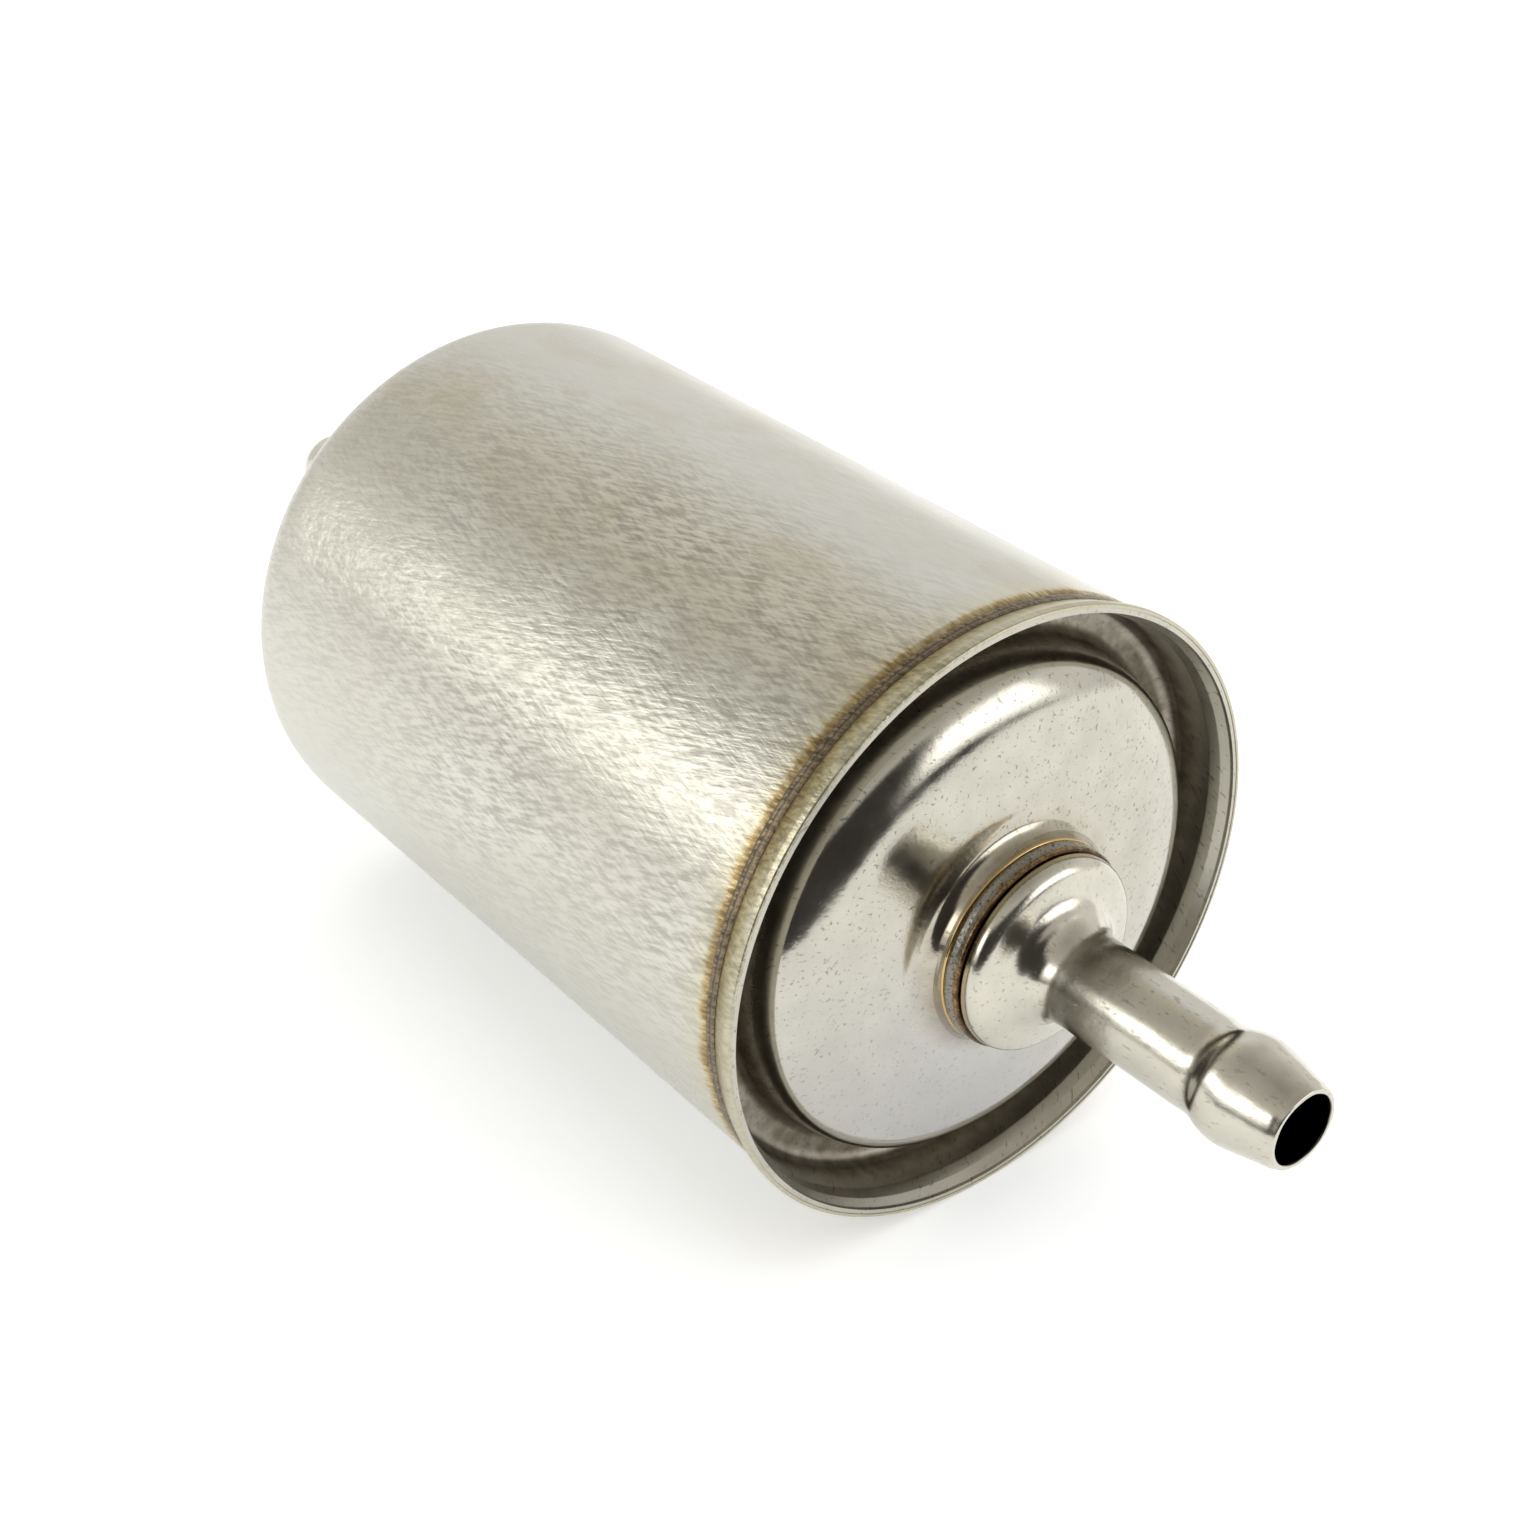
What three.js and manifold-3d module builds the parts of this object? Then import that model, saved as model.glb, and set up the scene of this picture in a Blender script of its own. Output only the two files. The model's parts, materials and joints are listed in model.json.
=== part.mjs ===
// In-line fuel filter: a drawn stainless can with a pressed and seam-welded end cover, a domed hose
// fitting on each end, and a spring-held pleated element inside.
// Millimetres. The can lies along X, +Z is up, and the cover end points to +X.
import * as THREE from "three";
import { mergeVertices } from "three/addons/utils/BufferGeometryUtils.js";
import Module from "manifold-3d";

const wasm = await Module();
wasm.setup();

// ---- driving dimensions ----
// "s" is a distance behind the rim lip, towards the closed end; x = RIM_X - s.
const BODY_R = 27.27;           // outside of the can
const RIM_R = 27.8;             // outside of the flared rim
const SHEET = 0.4;              // can and cover sheet
const END_S = 77.7;             // outer face of the closed end
const SHOULDER_R = 5;           // rounding from the can's side to its closed end
const SEAM_S = 3.1;             // middle of the seam weld
const NECK_R = 9.15;            // raised neck that each fitting is welded to
const NECK_HOLE_R = 5.5;
const COVER_NECK_S = -3.05;     // top of the neck on the cover
const END_NECK_S = END_S + 3;   // top of the neck on the closed end
const CHANNEL_S = 6.5;          // floor of the channel round the cover's dome
const DOME_R = 22.45;           // the dome where its side meets its shoulder
const FITTING_LENGTH = 28.65;   // from the neck's top to the mouth
const TUBE_R = 4;
const BORE_R = 2.95;
const BARB_R = 4.55;
const FIT_GAP = 0.1;            // gap left between faces that meet
const RIM_X = (END_NECK_S + COVER_NECK_S) / 2;  // puts the origin midway between the mouths

const PLEATS = 36;
const PLEAT_OUTER_R = 21.5;
const PLEAT_INNER_R = 10;
const PLEAT_SHEET = 3.1;        // depth of the paper at a fold, along the radius
const BANDS = 3;                // bands round the pleats
const CORE_R = 8.4;
const CAP_R = 22.8;             // outside of the element's end caps
const OPEN_CAP_S = 9.35;        // outer face of the open end cap
const CLOSED_CAP_S = 66;        // outer face of the closed end cap
const POTTING = 2;              // depth of the adhesive in each end cap
const SPIGOT_R = 4.5;
const SEAT_S = 73.5;            // face of the baffle that the spring stands on
const FOOT_R = 18.5;            // outside of the baffle's foot
const SPRING_R = 8.5;
const SPRING_WIRE_R = 0.55;

const RIM_SIDES = 48;           // facets round the can and the cover
const ELEMENT_SIDES = 24;       // facets round the element's round pieces
const FITTING_SIDES = 20;

// ---- materials ----
function metal(color, roughness) {
  return new THREE.MeshStandardMaterial({ color, roughness, metalness: 1 });
}

function plain(color, roughness) {
  return new THREE.MeshStandardMaterial({ color, roughness, metalness: 0 });
}

const CAN_STEEL = () => metal(0xc9c3b6, 0.38);
const COVER_STEEL = () => metal(0xcfccc4, 0.2);
const FITTING_STEEL = () => metal(0xc6c3ba, 0.24);
const SEAM_TINT = () => metal(0x7a6040, 0.45);
const COPPER_TINT = () => metal(0x8a5a38, 0.35);
const TINPLATE = () => metal(0xb9b8b2, 0.4);
const SPRING_STEEL = () => metal(0x8d8a86, 0.35);
const PAPER = () => plain(0xd9b36a, 0.9);
const ADHESIVE = () => plain(0x3a3a3c, 0.6);
const HOT_MELT = () => plain(0xe8e2cf, 0.55);
const SEAL_RUBBER = () => plain(0x161616, 0.8);

// ---- outlines: [s, r] points ----
function arc(s, r, radius, from, to, steps) {
  return Array.from({ length: steps + 1 }, (_, i) => {
    const a = THREE.MathUtils.degToRad(from + ((to - from) * i) / steps);
    return [s + radius * Math.cos(a), r + radius * Math.sin(a)];
  });
}

// The second face of a sheet: every corner of the path moved by the thickness, along its mitre.
// A positive thickness moves it to the left of the path, with s to the right and r upwards.
function offset(path, thickness) {
  const normals = path.slice(1).map(([s, r], i) => {
    const along = new THREE.Vector2(s - path[i][0], r - path[i][1]).normalize();
    return new THREE.Vector2(-along.y, along.x);
  });
  return path.map(([s, r], i) => {
    const before = normals[Math.max(i - 1, 0)];
    const after = normals[Math.min(i, normals.length - 1)];
    const mitre = before.clone().add(after);
    mitre.multiplyScalar((2 * thickness) / mitre.lengthSq());
    return [s + mitre.x, r + mitre.y];
  });
}

function sheet(path, thickness) {
  return [...path, ...offset(path, thickness).reverse()];
}

function rectangle(s0, s1, r0, r1) {
  return [[s0, r0], [s1, r0], [s1, r1], [s0, r1]];
}

// ---- solids ----
// Turns an outline about the X axis. The flats of the many-sided ring touch the true circle, and one
// flat lies on each side, top and bottom. An outline that touches the axis stays open there.
function turned(outline, sides) {
  const closed = outline.some(([, r]) => r === 0) ? outline : [...outline, outline[0]];
  const spread = 1 / Math.cos(Math.PI / sides);
  const points = closed.map(([s, r]) => new THREE.Vector2(r * spread, RIM_X - s));
  const area = points.reduce((sum, p, i) => sum + p.cross(points[(i + 1) % points.length]), 0);
  if (area < 0) {
    points.reverse();
  }
  const solid = new THREE.LatheGeometry(points, sides, Math.PI / sides);
  return solid.rotateZ(-Math.PI / 2);
}

function toManifold(geometry) {
  const bare = geometry.clone().deleteAttribute("normal").deleteAttribute("uv");
  const merged = mergeVertices(bare, 1e-4);
  return new wasm.Manifold(new wasm.Mesh({
    numProp: 3,
    vertProperties: new Float32Array(merged.attributes.position.array),
    triVerts: new Uint32Array(merged.index.array),
  }));
}

function toGeometry(manifold) {
  const { vertProperties, triVerts } = manifold.getMesh();
  const geometry = new THREE.BufferGeometry();
  geometry.setAttribute("position", new THREE.BufferAttribute(vertProperties, 3));
  geometry.setIndex(new THREE.BufferAttribute(triVerts, 1));
  return geometry;
}

function cut(geometry, tools) {
  const start = toManifold(geometry);
  return toGeometry(tools.reduce((solid, tool) => solid.subtract(toManifold(tool)), start));
}

function join(geometry, additions) {
  const start = toManifold(geometry);
  return toGeometry(additions.reduce((solid, piece) => solid.add(toManifold(piece)), start));
}

// The same small solid, repeated at equal angles about the X axis.
function roundAbout(count, make) {
  return Array.from({ length: count }, (_, i) => make(i).rotateX((2 * Math.PI * i) / count));
}

// A block centred on +Z at radius r, from s0 to s1.
function block(s0, s1, r0, r1, width) {
  const box = new THREE.BoxGeometry(s1 - s0, width, r1 - r0);
  return box.translate(RIM_X - (s0 + s1) / 2, 0, (r0 + r1) / 2);
}

// ---- outer pieces ----
// The can's side flares into the rim, and a shallow groove takes the seam weld.
function housingShell() {
  const flareS = 2.3;
  const grooveR = BODY_R - 0.25;
  const lip = [[0, RIM_R - 0.25], [0.2, RIM_R], [0.6, RIM_R], [flareS, BODY_R]];
  const groove = [[SEAM_S - 0.6, grooveR], [SEAM_S + 0.6, grooveR], [SEAM_S + 0.8, BODY_R]];
  const shoulder = arc(END_S - SHOULDER_R, BODY_R - SHOULDER_R, SHOULDER_R, 90, 0, 4);
  const root = [[END_S, 12], [END_S + 0.4, 10.6], [END_S + 1.2, 9.7]];
  const neck = [...root, [END_NECK_S, NECK_R], [END_NECK_S, NECK_HOLE_R]];
  const inside = offset([[flareS, BODY_R], ...shoulder, ...neck], -SHEET).reverse();
  return [...lip, ...groove, ...shoulder, ...neck, ...inside, [0, RIM_R - SHEET]];
}

// The cover's pressed face, from its lip, down into the channel, up over the dome to the neck.
function coverFace() {
  const flangeR = BODY_R - 2 * SHEET - FIT_GAP;
  const lip = [[0.2, flangeR + 0.52], [1.2, flangeR + 0.28], [2.4, flangeR]];
  const bendR = 1.2;
  const bendS = CHANNEL_S - bendR;
  const outerBend = arc(bendS, flangeR - bendR, bendR, 90, 0, 2);
  const innerBend = arc(bendS, DOME_R + 0.55 + bendR, bendR, 0, -90, 2);
  const shoulder = [[2.7, DOME_R], [1.65, 22.05], [0.9, 21.25], [0.23, 20], [-0.39, 18]];
  const crown = [[-1, 14], [-1.2, 12], [-1.55, 10.6], [-2.1, 9.7]];
  const neck = [[COVER_NECK_S, NECK_R], [COVER_NECK_S, NECK_HOLE_R]];
  return [...lip, ...outerBend, ...innerBend, ...shoulder, ...crown, ...neck];
}

// A welded fitting outlined as if its neck's top were at s = 0 and its mouth at -FITTING_LENGTH.
function fittingOutline() {
  const mouth = -FITTING_LENGTH;
  const root = [[-FIT_GAP, 8.2], [-1.45, 8.2], [-1.5, 8.7]];
  const bell = [[-1.95, 8.72], [-2.45, 8.6], [-2.85, 8.25], [-3.1, 7.9], [-3.45, 6.7], [-3.7, 6]];
  const foot = [[-4.05, 5.45], [-4.45, 5.05], [-5.3, 4.3], [-6.2, 4.06]];
  const tube = [[-7.5, TUBE_R], [-19.9, 3.97]];
  const barb = [
    [-20.9, 4.08],
    [-21.8, 4.4],
    [-22.6, BARB_R],
    [-23.4, BARB_R],
    [-24.4, 4.38],
    [-26, 4.1],
    [-27.2, 3.8],
    [mouth + 0.5, 3.52],
    [mouth, 3.3],
  ];
  const bore = [[mouth, BORE_R], [-5.4, BORE_R], [-4.6, 3.3], [-3.6, 4.4], [-2.9, 5.6]];
  const cup = [[-2.3, 7], [-1.8, 7.4], [-FIT_GAP, 7.4]];
  return [...root, ...bell, ...foot, ...tube, ...barb, ...bore, ...cup];
}

// The weld bead in the corner between a neck and its fitting, on the same footing.
function weldOutline() {
  return [[-0.12, 8.3], [-0.12, 9], [-0.4, 9.12], [-1, 9.05], [-1.38, 8.85], [-1.38, 8.3]];
}

function atCover(outline) {
  return outline.map(([s, r]) => [COVER_NECK_S + s, r]);
}

function atClosedEnd(outline) {
  return outline.map(([s, r]) => [END_NECK_S - s, r]);
}

function seamWeld() {
  const floor = BODY_R - 0.2;
  return [
    [SEAM_S - 0.5, floor],
    [SEAM_S - 0.3, BODY_R - 0.1],
    [SEAM_S + 0.3, BODY_R - 0.1],
    [SEAM_S + 0.5, floor],
  ];
}

// ---- fixed inner pieces ----
// A flanged tube on the inside of the cover's neck, which the element's seal slides on.
function outletSpigot() {
  const flangeS = COVER_NECK_S + SHEET + FIT_GAP;
  const wall = 0.9;
  const bore = SPIGOT_R - wall;
  return sheet([[flangeS, 8], [flangeS, bore], [15, bore]], wall);
}

// A dish on its foot, over the inlet. Fuel leaves through the windows in its side.
function inletBaffle() {
  const plate = 0.6;
  const windows = 6;
  const foot = END_S - SHEET - FIT_GAP - plate;
  const side = [[SEAT_S + 0.8, FOOT_R - 3.3], [foot, FOOT_R - 3], [foot, FOOT_R]];
  const face = [[SEAT_S, 0], [SEAT_S, FOOT_R - 4.3], ...side];
  const dish = turned([...face, ...offset(face, -plate).reverse()], ELEMENT_SIDES);
  const window = () => block(SEAT_S + 1, foot - 0.3, FOOT_R - 6, FOOT_R - 1.5, 6);
  return cut(dish, roundAbout(windows, window));
}

class SpringLine extends THREE.Curve {
  constructor(start, end, turns, closedTurns, closedPitch) {
    super();
    Object.assign(this, { start, end, turns, closedTurns, closedPitch });
  }

  // The end turns lie close together, and the turns between them share what is left.
  heightAt(turn) {
    const { start, end, turns, closedTurns, closedPitch } = this;
    const closed = closedTurns * closedPitch;
    const openPitch = (end - start - 2 * closed) / (turns - 2 * closedTurns);
    const first = Math.min(turn, closedTurns);
    const last = Math.max(turn - (turns - closedTurns), 0);
    return start + (first + last) * closedPitch + (turn - first - last) * openPitch;
  }

  getPoint(t, target = new THREE.Vector3()) {
    const turn = t * this.turns;
    const angle = 2 * Math.PI * turn;
    const y = SPRING_R * Math.cos(angle);
    return target.set(RIM_X - this.heightAt(turn), y, SPRING_R * Math.sin(angle));
  }
}

function preloadSpring() {
  const turns = 3.5;
  const stepsPerTurn = 16;
  const end = SPRING_WIRE_R + FIT_GAP;
  const line = new SpringLine(CLOSED_CAP_S + end, SEAT_S - end, turns, 0.75, 1.3);
  const wire = new THREE.Shape(
    Array.from({ length: 6 }, (_, i) => new THREE.Vector2(
      SPRING_WIRE_R * Math.cos((Math.PI * i) / 3),
      SPRING_WIRE_R * Math.sin((Math.PI * i) / 3),
    )),
  );
  return new THREE.ExtrudeGeometry(wire, { steps: turns * stepsPerTurn, extrudePath: line });
}

// ---- filter element ----
function tabs(s) {
  const reach = BODY_R - SHEET - 0.7;
  return roundAbout(4, () => block(s, s + SHEET, CAP_R - 1.5, reach, 5).rotateX(Math.PI / 4));
}

// An end cap: a disc with its rim turned down over the pleats, and four tabs that centre it.
function endCap(discS, rimS, innerOutline) {
  const inward = Math.sign(rimS - discS);
  const path = [...innerOutline, [discS, CAP_R - 0.6], [discS + 0.6 * inward, CAP_R], [rimS, CAP_R]];
  const body = sheet(path, -SHEET * inward);
  return join(turned(body, ELEMENT_SIDES), tabs(Math.min(discS, discS + SHEET * inward)));
}

function openEndCap() {
  return endCap(OPEN_CAP_S, OPEN_CAP_S + 4, [[OPEN_CAP_S, 6.2]]);
}

// Its middle is pressed outwards, which keeps the spring central.
function closedEndCap() {
  const dimple = CLOSED_CAP_S + 1.5;
  const outer = [[dimple, 0], [dimple, 5.8], [CLOSED_CAP_S, 7.2]];
  const rim = [[CLOSED_CAP_S, CAP_R - 0.6], [CLOSED_CAP_S - 0.6, CAP_R], [CLOSED_CAP_S - 4, CAP_R]];
  const back = offset([...outer, ...rim], SHEET).reverse();
  const body = turned([...outer, ...rim, ...back], ELEMENT_SIDES);
  return join(body, tabs(CLOSED_CAP_S - SHEET));
}

// A moulded ring with a groove that snaps into the open end cap's hole.
function outletGrommet() {
  const hole = SPIGOT_R + FIT_GAP;
  const groove = [OPEN_CAP_S - FIT_GAP, OPEN_CAP_S + SHEET + FIT_GAP];
  return [
    [8.1, hole],
    [8.1, 6.8],
    [8.5, 7.3],
    [groove[0], 7.3],
    [groove[0], 6],
    [groove[1], 6],
    [groove[1], 7.1],
    [12.2, 6.3],
    [12.6, hole],
  ];
}

function pleatedMedia(s0, s1) {
  const star = (outer, inner, Kind) => new Kind(
    Array.from({ length: 2 * PLEATS }, (_, i) => {
      const r = i % 2 ? inner : outer;
      const a = (Math.PI * i) / PLEATS;
      return new THREE.Vector2(r * Math.cos(a), r * Math.sin(a));
    }),
  );
  const outline = star(PLEAT_OUTER_R, PLEAT_INNER_R + PLEAT_SHEET, THREE.Shape);
  outline.holes.push(star(PLEAT_OUTER_R - PLEAT_SHEET, PLEAT_INNER_R, THREE.Path));
  const solid = new THREE.ExtrudeGeometry(outline, { depth: s1 - s0, bevelEnabled: false });
  return solid.rotateY(Math.PI / 2).translate(RIM_X - s1, 0, 0);
}

function coreTube(s0, s1) {
  const rows = 5;
  const punchesPerRow = 3;      // each goes right through, so it makes two holes
  const holeR = 1.6;
  const pitch = (s1 - s0) / rows;
  const tube = turned(rectangle(s0, s1, CORE_R - 0.6, CORE_R), ELEMENT_SIDES);
  const punches = Array.from({ length: rows * punchesPerRow }, (_, i) => {
    const row = Math.floor(i / punchesPerRow);
    const turn = (Math.PI * ((i % punchesPerRow) + 0.5 * (row % 2))) / punchesPerRow;
    const punch = new THREE.CylinderGeometry(holeR, holeR, 3 * CORE_R, 6).rotateX(Math.PI / 2);
    return punch.translate(RIM_X - s0 - pitch * (row + 0.5), 0, 0).rotateX(turn);
  });
  return cut(tube, punches);
}

// A folded strip that clamps the two ends of the paper together, inside the pleats.
function seamClip(s0, s1) {
  const half = 1.2;
  const thickness = 0.3;
  const top = PLEAT_INNER_R - 0.3;
  const base = CORE_R + 0.35;
  const leg = (side) => [
    [side * half, base],
    [side * half, top],
    [side * (half - thickness), top],
    [side * (half - thickness), base + thickness],
  ];
  const corners = [...leg(1), ...leg(-1).reverse()];
  const outline = new THREE.Shape(corners.map(([y, z]) => new THREE.Vector2(y, z)));
  const strip = new THREE.ExtrudeGeometry(outline, { depth: s1 - s0, bevelEnabled: false });
  strip.rotateX(Math.PI / 2).rotateZ(Math.PI / 2);
  return strip.translate(RIM_X - s1, 0, 0);
}

function pleatBand(s) {
  return rectangle(s - 1.5, s + 1.5, PLEAT_OUTER_R + 0.2, PLEAT_OUTER_R + 0.6);
}

// ---- assembly ----
const filter = new THREE.Group();

function add(name, geometry, material) {
  const mesh = new THREE.Mesh(geometry, material);
  mesh.name = name;
  filter.add(mesh);
}

add("housing_shell", turned(housingShell(), RIM_SIDES), CAN_STEEL());
add("end_cover", turned(sheet(coverFace(), SHEET), RIM_SIDES), COVER_STEEL());
add("cover_seam_weld", turned(seamWeld(), RIM_SIDES), SEAM_TINT());

add("outlet_fitting", turned(atCover(fittingOutline()), FITTING_SIDES), FITTING_STEEL());
add("outlet_weld_ring", turned(atCover(weldOutline()), FITTING_SIDES), COPPER_TINT());
add("inlet_fitting", turned(atClosedEnd(fittingOutline()), FITTING_SIDES), FITTING_STEEL());
add("inlet_weld_ring", turned(atClosedEnd(weldOutline()), FITTING_SIDES), COPPER_TINT());

add("outlet_spigot", turned(outletSpigot(), FITTING_SIDES), TINPLATE());
add("inlet_baffle", inletBaffle(), TINPLATE());
add("preload_spring", preloadSpring(), SPRING_STEEL());

const openPotting = OPEN_CAP_S + SHEET + FIT_GAP;
const closedPotting = CLOSED_CAP_S - SHEET - FIT_GAP;
const paperStart = openPotting + POTTING + FIT_GAP;
const paperEnd = closedPotting - POTTING - FIT_GAP;
const pottingR = CAP_R - SHEET - 0.6;

add("outlet_grommet", turned(outletGrommet(), FITTING_SIDES), SEAL_RUBBER());
add("open_end_cap", openEndCap(), TINPLATE());
add("closed_end_cap", closedEndCap(), TINPLATE());
for (const [name, s] of [["open_end", openPotting], ["closed_end", closedPotting - POTTING]]) {
  const ring = rectangle(s, s + POTTING, CORE_R + FIT_GAP, pottingR);
  add(`${name}_potting`, turned(ring, ELEMENT_SIDES), ADHESIVE());
}
add("pleated_media", pleatedMedia(paperStart, paperEnd), PAPER());
add("core_tube", coreTube(openPotting + 0.3, closedPotting - 1.2), TINPLATE());
add("seam_clip", seamClip(paperStart + 1, paperEnd - 1), TINPLATE());

for (let band = 1; band <= BANDS; band += 1) {
  const s = paperStart + ((paperEnd - paperStart) * band) / (BANDS + 1);
  add(`pleat_band_${band}`, turned(pleatBand(s), ELEMENT_SIDES), HOT_MELT());
}

// The lowest flat of the rim lies on z = 0.
filter.position.z = RIM_R;

export default filter;
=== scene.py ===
"""An in-line fuel filter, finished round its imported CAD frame.

The can lies along X with its cover and outlet at +X. Outlines are lists of (s, r) or (s, r, fillet), in
millimetres: s is a distance behind the rim lip, towards the closed end, r is a radius, and fillet is the
radius that rounds the corner.
"""

import json
import math

import bmesh
import bpy
from mathutils import Matrix, Vector, noise
from mathutils.geometry import interpolate_bezier

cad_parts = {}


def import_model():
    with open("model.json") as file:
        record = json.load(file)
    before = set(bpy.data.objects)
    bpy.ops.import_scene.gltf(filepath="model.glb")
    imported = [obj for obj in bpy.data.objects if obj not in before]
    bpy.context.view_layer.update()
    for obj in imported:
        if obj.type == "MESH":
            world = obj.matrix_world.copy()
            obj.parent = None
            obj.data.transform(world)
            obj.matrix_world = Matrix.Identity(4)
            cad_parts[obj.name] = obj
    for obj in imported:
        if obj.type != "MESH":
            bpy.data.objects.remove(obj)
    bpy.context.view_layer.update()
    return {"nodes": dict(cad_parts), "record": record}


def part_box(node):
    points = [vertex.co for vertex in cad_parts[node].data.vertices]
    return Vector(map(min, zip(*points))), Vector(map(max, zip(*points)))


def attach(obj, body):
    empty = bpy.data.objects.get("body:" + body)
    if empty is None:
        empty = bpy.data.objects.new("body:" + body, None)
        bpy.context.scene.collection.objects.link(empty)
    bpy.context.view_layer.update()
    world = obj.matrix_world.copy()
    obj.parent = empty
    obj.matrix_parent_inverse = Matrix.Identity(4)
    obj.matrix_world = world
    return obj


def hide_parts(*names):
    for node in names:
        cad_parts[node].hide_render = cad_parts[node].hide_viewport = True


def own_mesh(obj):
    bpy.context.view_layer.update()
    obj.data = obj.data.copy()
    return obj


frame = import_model()

MM = 0.001
SHELL_LOW, SHELL_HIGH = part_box("housing_shell")
RIM_X = SHELL_HIGH.x
AXIS_Z = (SHELL_LOW.z + SHELL_HIGH.z) / 2
RIM_R = (SHELL_HIGH.z - SHELL_LOW.z) / 2 / MM


def s_of(x):
    """The distance s, in millimetres, of a place along X."""
    return (RIM_X - x) / MM


# ---- sizes, in millimetres, as in the CAD model ----
BODY_R = 27.27
SHEET = 0.4
CLOSED_NECK_S = s_of(SHELL_LOW.x)
END_S = CLOSED_NECK_S - 3.0
COVER_NECK_S = s_of(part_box("end_cover")[1].x)
SEAM_S = 3.1
NECK_HOLE_R = 5.5
MOUTH = s_of(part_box("outlet_fitting")[1].x) - COVER_NECK_S  # a fitting's mouth, from its neck's top
BORE_R = 2.95
TUBE_R = 4.0
FIT_GAP = 0.1
CAP_R = 22.8  # outside of the element's end caps
CAP_RIM = 4.0  # how far a cap's rim reaches over the pleats
DIMPLE = 1.5  # how far the closed cap's middle stands out
CORE_R = 8.4
CORE_WALL = 0.6
BAND_IN_R = 21.7
BAND_OUT_R = 22.1
SPRING_R = 8.5
WIRE_R = 0.55
SPIGOT_R = 4.5
PLEATS = 36
ROUND = 256  # facets round the can
SMALL_ROUND = 128  # facets round a fitting
INNER_ROUND = 144  # facets round an inner piece


# ---- outlines ----
def rounded(corners, closed=True, steps=7):
    """The (s, r) outline through these corners, each one turned into an arc of its own radius."""
    made = []
    count = len(corners)
    for i, (s, r, fillet) in enumerate(corners):
        here = Vector((s, r))
        inside = closed or 0 < i < count - 1
        if fillet <= 0 or not inside:
            made.append(here)
            continue
        before = Vector(corners[i - 1][:2]) - here
        after = Vector(corners[(i + 1) % count][:2]) - here
        half = before.angle(after) / 2
        reach = min(fillet / math.tan(half), 0.49 * before.length, 0.49 * after.length)
        radius = reach * math.tan(half)
        if radius < 1e-4 or math.pi / 2 - half < 1e-3:
            made.append(here)
            continue
        inwards = (before.normalized() + after.normalized()).normalized()
        centre = here + inwards * (radius / math.sin(half))
        start = here + before.normalized() * reach - centre
        stop = here + after.normalized() * reach - centre
        turn = start.angle_signed(stop)
        for k in range(steps + 1):
            made.append(centre + Matrix.Rotation(-turn * k / steps, 2) @ start)
    return made


def offset(path, distance, closed=False):
    """The same path, moved to its left by a distance, along the mitres."""
    ends = path[1:] + path[:1] if closed else path[1:]
    normals = []
    for a, b in zip(path, ends):
        along = (b - a).normalized()
        normals.append(Vector((-along.y, along.x)))
    moved = []
    for i, point in enumerate(path):
        before = normals[i - 1] if closed or i else normals[0]
        mitre = before + normals[min(i, len(normals) - 1)]
        moved.append(point + mitre * (2 * distance / mitre.length_squared))
    return moved


def flowing(points, steps=6):
    """A smooth line through these (s, r) points."""
    line = [Vector(p) for p in points]
    spans = [(b - a).length for a, b in zip(line, line[1:])]
    slopes = [(b - a) / span for a, b, span in zip(line, line[1:], spans)]
    tangents = [slopes[0]]
    for i in range(1, len(spans)):
        tangents.append(slopes[i - 1].lerp(slopes[i], spans[i - 1] / (spans[i - 1] + spans[i])))
    tangents.append(slopes[-1])
    made = []
    for i, span in enumerate(spans):
        leave = line[i] + tangents[i] * span / 3
        arrive = line[i + 1] - tangents[i + 1] * span / 3
        made += interpolate_bezier(line[i], leave, arrive, line[i + 1], steps + 1)[:-1]
    return [Vector(p[:2]) for p in made] + [line[-1]]


def sheet(path, thickness):
    """A closed outline: a path and its other face."""
    return list(path) + offset(path, thickness)[::-1]


def shorter(outline, longest):
    """The closed outline with its long sides split, so that none is longer than this."""
    made = []
    for a, b in zip(outline, outline[1:] + outline[:1]):
        parts = max(1, math.ceil((b - a).length / longest))
        made += [a.lerp(b, k / parts) for k in range(parts)]
    return made


# ---- meshes ----
def place(s, r, angle):
    """A point in the row frame. The angle runs from -Y over the top to +Y."""
    return Vector((RIM_X - s * MM, -r * MM * math.cos(angle), AXIS_Z + r * MM * math.sin(angle)))


def new_object(name, *parts):
    """An object of one or more (points, faces) parts, smooth except at its sharp edges."""
    points, faces = [], []
    for part_points, part_faces in parts:
        first = len(points)
        points += part_points
        faces += [tuple(first + i for i in face) for face in part_faces]
    mesh = bpy.data.meshes.new(name)
    mesh.from_pydata(points, [], faces)
    work = bmesh.new()
    work.from_mesh(mesh)
    bmesh.ops.recalc_face_normals(work, faces=work.faces)
    work.to_mesh(mesh)
    work.free()
    mesh.shade_smooth()
    mesh.set_sharp_from_angle(angle=math.radians(50))
    made = bpy.data.objects.new(name, mesh)
    bpy.context.scene.collection.objects.link(made)
    return made


def woven(rings, closed=True):
    """The surface that joins each ring of points to the next. Left open, it gets a face at each end."""
    count = len(rings[0])
    points = [point for ring in rings for point in ring]
    faces = []
    for j in range(len(rings) - (0 if closed else 1)):
        here, there = j * count, (j + 1) % len(rings) * count
        for i in range(count):
            k = (i + 1) % count
            faces.append((here + i, here + k, there + k, there + i))
    if not closed:
        faces.append(tuple(range(count))[::-1])
        faces.append(tuple(range(len(points) - count, len(points))))
    return points, faces


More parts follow.
